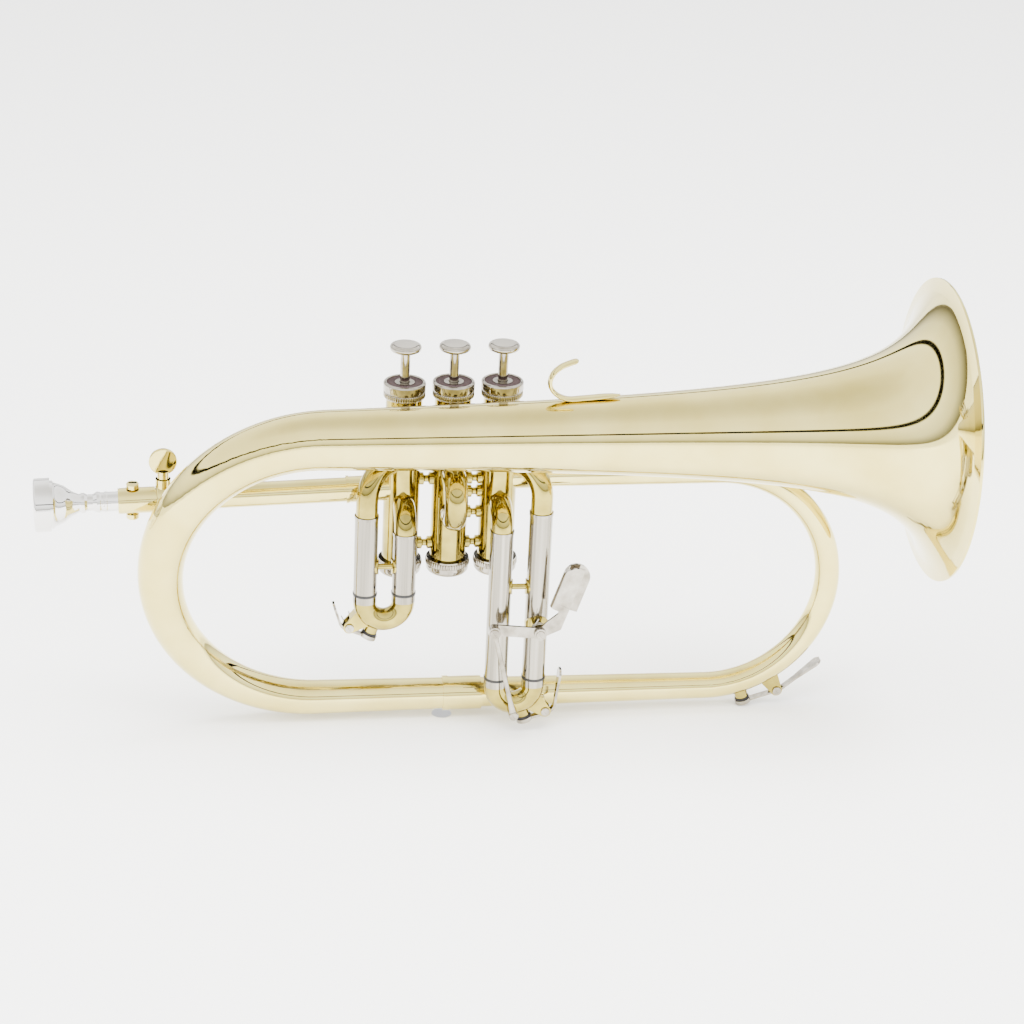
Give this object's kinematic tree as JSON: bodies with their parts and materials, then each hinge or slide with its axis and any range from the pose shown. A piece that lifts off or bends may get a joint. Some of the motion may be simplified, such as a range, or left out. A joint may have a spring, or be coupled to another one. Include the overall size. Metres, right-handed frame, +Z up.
{
  "type": "flugelhorn",
  "caption": "Flugelhorn with piston valves, a wide conical bell, pull slides, a third-slide trigger, water keys, a finger hook and a sliding leadpipe.",
  "frame": {"origin": "where the second valve's axis meets the leadpipe's axis, inside the middle casing, which the player's left hand holds", "axes": "+X from the mouthpiece to the bell mouth, +Z up the valves to the finger buttons, +Y away from the bell's side of the valves"},
  "size_m": [0.4479, 0.1518, 0.2432],
  "materials": {
    "lacquered_brass": "polished and clear lacquered",
    "nickel_silver": "drawn and polished nickel silver",
    "nickel_plate": "bright nickel plate",
    "monel": "lapped",
    "spring_steel": "drawn wire",
    "silver_plate": "polished silver plate",
    "felt": "pressed wool felt",
    "rubber_ring": "moulded",
    "cork": "moulded synthetic cork"
  },
  "bodies": {
    "horn": {"valve_casing_1": "lacquered_brass", "valve_casing_2": "lacquered_brass", "valve_casing_3": "lacquered_brass", "top_caps": "nickel_plate", "cap_felts": "felt", "bottom_caps": "nickel_plate", "crossover_tubes": "lacquered_brass", "casing_braces": "lacquered_brass", "port_elbows": "lacquered_brass", "slide_1_sleeves": "nickel_silver", "slide_3_sleeves": "nickel_silver", "slide_braces": "lacquered_brass", "slide_2_sleeves": "lacquered_brass", "bell": "lacquered_brass", "bell_tail": "lacquered_brass", "main_bow": "lacquered_brass", "tube_ferrules": "lacquered_brass", "leadpipe_sleeve": "lacquered_brass", "clamp_collar": "lacquered_brass", "finger_hook": "lacquered_brass", "bell_braces": "lacquered_brass", "main_key_seat": "lacquered_brass", "trigger_saddle": "lacquered_brass", "trigger_pivot": "nickel_plate"},
    "thumb_screw": {"thumb_screw": "lacquered_brass"},
    "leadpipe": {"leadpipe": "lacquered_brass", "receiver": "lacquered_brass", "pull_knobs": "lacquered_brass"},
    "mouthpiece": {"mouthpiece": "silver_plate"},
    "slide_1": {"slide_1_legs": "nickel_silver", "slide_1_bow": "lacquered_brass", "slide_1_ferrules": "nickel_silver", "slide_1_o_rings": "rubber_ring", "slide_1_key_seat": "lacquered_brass"},
    "slide_2": {"slide_2_bow": "lacquered_brass"},
    "slide_3": {"slide_3_legs": "nickel_silver", "slide_3_bow": "lacquered_brass", "slide_3_ferrules": "nickel_silver", "slide_3_o_rings": "rubber_ring", "slide_3_key_seat": "lacquered_brass"},
    "main_key": {"main_key": "nickel_plate", "main_key_cork": "cork"},
    "slide_1_key": {"slide_1_key": "nickel_plate", "slide_1_key_cork": "cork"},
    "slide_3_key": {"slide_3_key": "nickel_plate", "slide_3_key_cork": "cork"},
    "trigger": {"trigger_lever": "nickel_plate"},
    "link": {"link_rod": "nickel_plate"},
    "valve_1": {"piston_1": "monel", "valve_stem_1": "nickel_plate", "finger_button_1": "nickel_plate", "valve_spring_1": "spring_steel"},
    "valve_2": {"piston_2": "monel", "valve_stem_2": "nickel_plate", "finger_button_2": "nickel_plate", "valve_spring_2": "spring_steel"},
    "valve_3": {"piston_3": "monel", "valve_stem_3": "nickel_plate", "finger_button_3": "nickel_plate", "valve_spring_3": "spring_steel"}
  },
  "joints": [
    {"name": "valve_1_press", "type": "slide", "parent": "horn", "child": "valve_1", "axis": [0, 0, -1], "range_m": [0, 0.015], "stiffness_N_per_m": 150, "springref_m": -0.02, "deforming": ["valve_spring_1"]},
    {"name": "valve_2_press", "type": "slide", "parent": "horn", "child": "valve_2", "axis": [0, 0, -1], "range_m": [0, 0.015], "stiffness_N_per_m": 150, "springref_m": -0.02, "deforming": ["valve_spring_2"]},
    {"name": "valve_3_press", "type": "slide", "parent": "horn", "child": "valve_3", "axis": [0, 0, -1], "range_m": [0, 0.015], "stiffness_N_per_m": 150, "springref_m": -0.02, "deforming": ["valve_spring_3"]},
    {"name": "slide_1_pull", "type": "slide", "parent": "horn", "child": "slide_1", "axis": [0, 0, -1], "range_m": [0, 0.02]},
    {"name": "slide_2_pull", "type": "slide", "parent": "horn", "child": "slide_2", "axis": [0, -1, 0], "range_m": [0, 0.012]},
    {"name": "slide_3_pull", "type": "slide", "parent": "horn", "child": "slide_3", "axis": [0, 0, -1], "range_m": [0, 0.0108], "stiffness_N_per_m": 120, "springref_m": -0.012},
    {"name": "trigger_turn", "type": "hinge", "parent": "horn", "child": "trigger", "pos_m": [0.0438, -0.033, -0.0684], "axis": [0, -1, 0], "range_deg": [0, 25.78]},
    {"name": "link_rod_turn", "type": "hinge", "parent": "slide_3", "child": "link", "pos_m": [0.0324, -0.033, -0.115], "axis": [0, 1, 0], "range_deg": [0, 1.48]},
    {"name": "leadpipe_pull", "type": "slide", "parent": "horn", "child": "leadpipe", "axis": [-0.9994, 0, -0.0349], "range_m": [0, 0.03]},
    {"name": "mouthpiece_pull", "type": "slide", "parent": "leadpipe", "child": "mouthpiece", "axis": [-0.9994, 0, -0.0349], "range_m": [0, 0.045]},
    {"name": "thumb_screw_turn", "type": "hinge", "parent": "horn", "child": "thumb_screw", "pos_m": [-0.14311, 0, -0.005], "axis": [0, 0, 1], "range_deg": [0, 180]},
    {"name": "main_key_press", "type": "hinge", "parent": "horn", "child": "main_key", "pos_m": [0.17721, 0, -0.12103], "axis": [0, -1, 0], "range_deg": [0, 12], "stiffness_Nm_per_rad": 0.03, "springref_deg": -34.38},
    {"name": "slide_1_key_press", "type": "hinge", "parent": "slide_1", "child": "slide_1_key", "pos_m": [-0.05149, -0.02, -0.06777], "axis": [0, 1, 0], "range_deg": [0, 14], "stiffness_Nm_per_rad": 0.03, "springref_deg": -34.38},
    {"name": "slide_3_key_press", "type": "hinge", "parent": "slide_3", "child": "slide_3_key", "pos_m": [0.05042, -0.02, -0.1185], "axis": [0, -1, 0], "range_deg": [0, 14], "stiffness_Nm_per_rad": 0.03, "springref_deg": -34.38}
  ],
  "couplings": [
    {"joint": "trigger_turn", "follows": "slide_3_pull", "rad_per_m": 41.626},
    {"joint": "link_rod_turn", "follows": "slide_3_pull", "rad_per_m": 2.3661}
  ]
}
